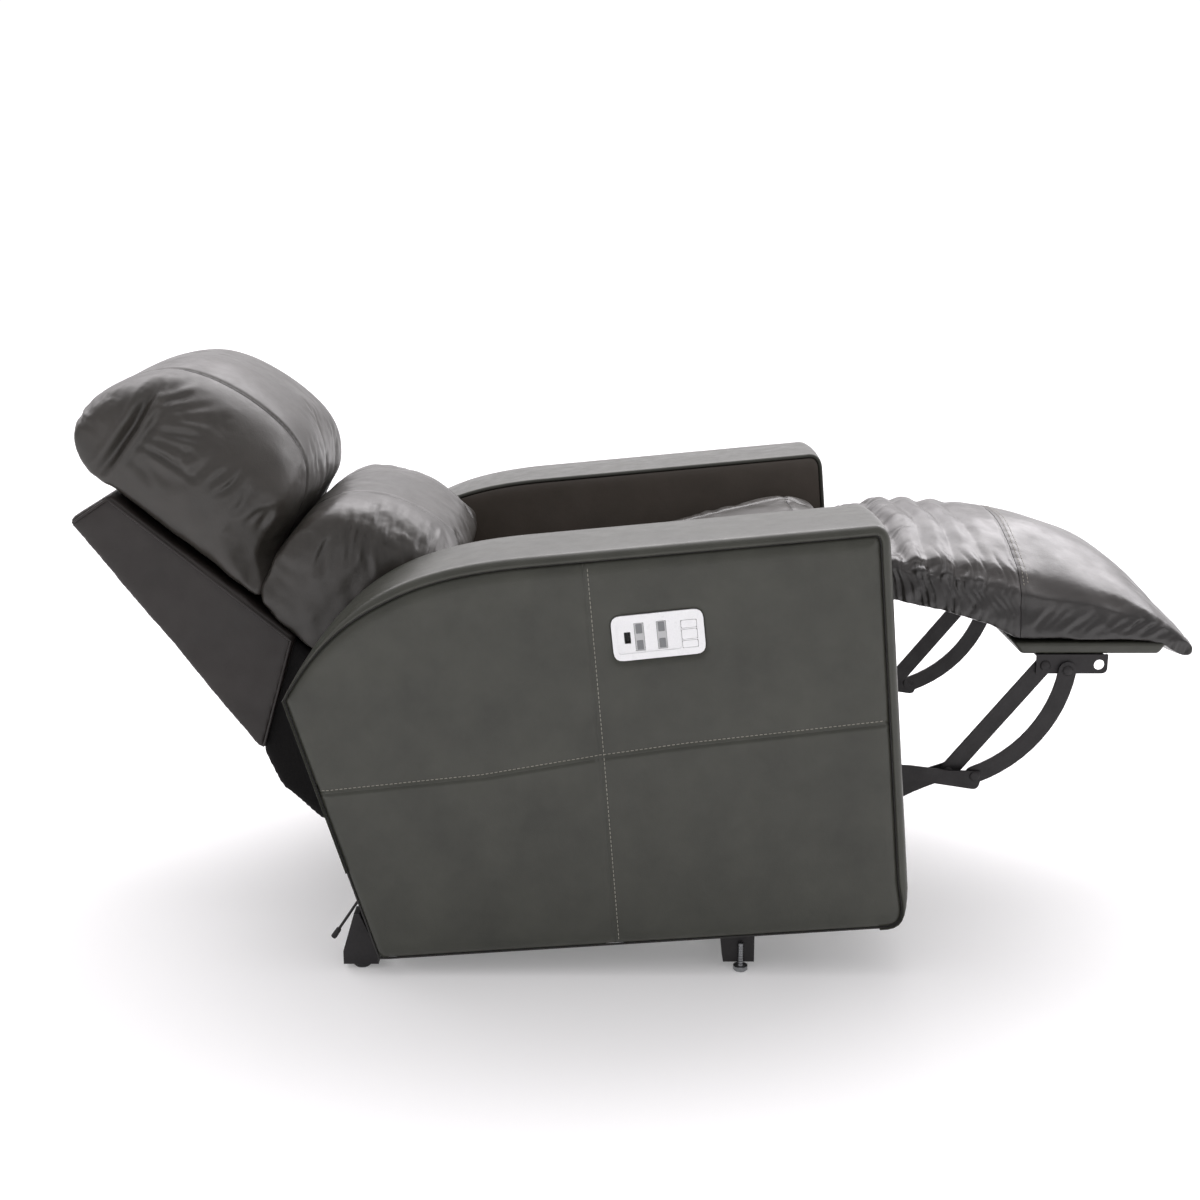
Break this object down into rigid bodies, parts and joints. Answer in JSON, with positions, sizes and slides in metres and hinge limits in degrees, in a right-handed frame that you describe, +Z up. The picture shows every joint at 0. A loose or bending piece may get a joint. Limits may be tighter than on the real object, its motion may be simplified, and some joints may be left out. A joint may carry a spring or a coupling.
{
  "type": "recliner armchair",
  "caption": "Power recliner armchair in grey leather, with a reclining back, a tilting headrest, a folding footrest and an arm-side control panel.",
  "frame": {"origin": "on the floor under the middle of the reclined chair", "axes": "+Z up, the sitter faces -Y, +X is towards the sitter's left"},
  "size_m": [0.9, 1.747, 0.902],
  "materials": {
    "grey_leather": "semi-matte grained leather",
    "dark_leather": "semi-matte grained leather",
    "black_steel": "satin powder coat",
    "zinc": "zinc plated",
    "black_plastic": "matte",
    "silver_plastic": "satin silver",
    "grey_plastic": "satin",
    "wood": "raw plywood"
  },
  "bodies": {
    "base": {"rear_cross_rail": "black_steel", "front_cross_rail": "black_steel", "base_rail_right": "black_steel", "rear_foot_bracket_right": "black_steel", "front_foot_bracket_right": "black_steel", "rear_glide_right": "black_plastic", "front_leveller_right": "zinc", "base_rail_left": "black_steel", "rear_foot_bracket_left": "black_steel", "front_foot_bracket_left": "black_steel", "rear_glide_left": "black_plastic", "front_leveller_left": "zinc"},
    "carriage": {"carriage_plate_right": "black_steel", "carriage_plate_left": "black_steel", "carriage_tube": "black_steel"},
    "chassis": {"tilt_pivot_tube": "black_steel", "arm_frame_right": "dark_leather", "arm_side_panel_right": "grey_leather", "seat_side_rail_right": "wood", "link_pivot_plate_right": "black_steel", "seat_spring_right": "zinc", "arm_frame_left": "dark_leather", "arm_side_panel_left": "grey_leather", "seat_side_rail_left": "wood", "link_pivot_plate_left": "black_steel", "seat_spring_left": "zinc", "seat_front_rail": "wood", "seat_rear_rail": "wood", "seat_cushion": "grey_leather", "control_panel": "silver_plastic", "usb_socket": "black_plastic", "drive_motor": "black_plastic", "drive_rail": "zinc", "leg_apron": "grey_leather"},
    "drive_nut": {"drive_nut": "black_plastic"},
    "recline_key": {"rocker_key_recline": "grey_plastic"},
    "headrest_key": {"rocker_key_headrest": "grey_plastic"},
    "memory_key_1": {"memory_key_1": "silver_plastic"},
    "memory_key_2": {"memory_key_2": "silver_plastic"},
    "memory_key_3": {"memory_key_3": "silver_plastic"},
    "release_lever": {"back_release_lever": "black_steel"},
    "back": {"back_shell": "dark_leather", "back_bracket_right": "black_steel", "back_bracket_left": "black_steel", "back_cushion": "grey_leather", "headrest_hinge_tube": "black_steel"},
    "headrest": {"head_pillow": "grey_leather"},
    "lower_links": {"torque_tube": "black_steel", "lower_link_right": "black_steel", "lower_link_left": "black_steel"},
    "straight_links": {"straight_link_right": "black_steel", "straight_link_left": "black_steel"},
    "rear_links": {"rear_link_right": "black_steel", "rear_link_left": "black_steel"},
    "curved_links": {"curved_link_right": "black_steel", "curved_link_left": "black_steel"},
    "ottoman": {"ottoman_bracket_right": "black_steel", "ottoman_bracket_left": "black_steel", "footrest_board": "grey_leather", "footrest_pad": "grey_leather"}
  },
  "joints": [
    {"name": "recline", "type": "hinge", "parent": "chassis", "child": "back", "pos_m": [0, 0.2415, 0.33], "axis": [1, 0, 0], "range_deg": [0, 32]},
    {"name": "carriage_travel", "type": "slide", "parent": "base", "child": "carriage", "axis": [0, 1, 0], "range_m": [0, 0.09]},
    {"name": "body_tilt", "type": "hinge", "parent": "carriage", "child": "chassis", "pos_m": [0, 0.3015, 0.12], "axis": [1, 0, 0], "range_deg": [0, 3.65]},
    {"name": "headrest_tilt", "type": "hinge", "parent": "back", "child": "headrest", "pos_m": [0, 0.5815, 0.56], "axis": [-1, 0, 0], "range_deg": [0, 12]},
    {"name": "footrest_fold", "type": "hinge", "parent": "chassis", "child": "lower_links", "pos_m": [0, -0.2885, 0.113], "axis": [-1, 0, 0], "range_deg": [0, 108.76], "deforming": ["leg_apron"]},
    {"name": "straight_link_hinge", "type": "hinge", "parent": "lower_links", "child": "straight_links", "pos_m": [0, -0.4995, 0.253], "axis": [1, 0, 0], "range_deg": [0, 144.05]},
    {"name": "ottoman_hinge", "type": "hinge", "parent": "straight_links", "child": "ottoman", "pos_m": [0, -0.6415, 0.429], "axis": [1, 0, 0], "range_deg": [0, 55]},
    {"name": "rear_link_hinge", "type": "hinge", "parent": "chassis", "child": "rear_links", "pos_m": [0, -0.2985, 0.09], "axis": [-1, 0, 0], "range_deg": [0, 105.4]},
    {"name": "curved_link_hinge", "type": "hinge", "parent": "rear_links", "child": "curved_links", "pos_m": [0, -0.5385, 0.251], "axis": [1, 0, 0], "range_deg": [0, 152.3]},
    {"name": "drive_nut_slide", "type": "slide", "parent": "chassis", "child": "drive_nut", "axis": [0, 1, 0], "range_m": [0, 0.151]},
    {"name": "release_lever_pull", "type": "hinge", "parent": "chassis", "child": "release_lever", "pos_m": [-0.412, 0.3965, 0.134], "axis": [1, 0, 0], "range_deg": [0, 25]},
    {"name": "recline_key_rock", "type": "hinge", "parent": "chassis", "child": "recline_key", "pos_m": [-0.4445, -0.00505, 0.52522], "axis": [0, -0.9945, 0.1045], "range_deg": [-4, 4], "stiffness_Nm_per_rad": 0.4},
    {"name": "headrest_key_rock", "type": "hinge", "parent": "chassis", "child": "headrest_key", "pos_m": [-0.4445, -0.03687, 0.52856], "axis": [0, -0.9945, 0.1045], "range_deg": [-4, 4], "stiffness_Nm_per_rad": 0.4},
    {"name": "memory_key_1_press", "type": "slide", "parent": "chassis", "child": "memory_key_1", "axis": [1, 0, 0], "range_m": [0, 0.0012], "stiffness_N_per_m": 1500},
    {"name": "memory_key_2_press", "type": "slide", "parent": "chassis", "child": "memory_key_2", "axis": [1, 0, 0], "range_m": [0, 0.0012], "stiffness_N_per_m": 1500},
    {"name": "memory_key_3_press", "type": "slide", "parent": "chassis", "child": "memory_key_3", "axis": [1, 0, 0], "range_m": [0, 0.0012], "stiffness_N_per_m": 1500}
  ],
  "couplings": [
    {"joint": "carriage_travel", "follows": "recline", "m_per_rad": 0.16104},
    {"joint": "body_tilt", "follows": "recline", "ratio": 0.11396},
    {"joint": "straight_link_hinge", "follows": "footrest_fold", "ratio": 1.323},
    {"joint": "ottoman_hinge", "follows": "footrest_fold", "ratio": 0.5045},
    {"joint": "rear_link_hinge", "follows": "footrest_fold", "ratio": 0.96777},
    {"joint": "curved_link_hinge", "follows": "footrest_fold", "ratio": 1.399},
    {"joint": "drive_nut_slide", "follows": "footrest_fold", "m_per_rad": 0.07902}
  ]
}
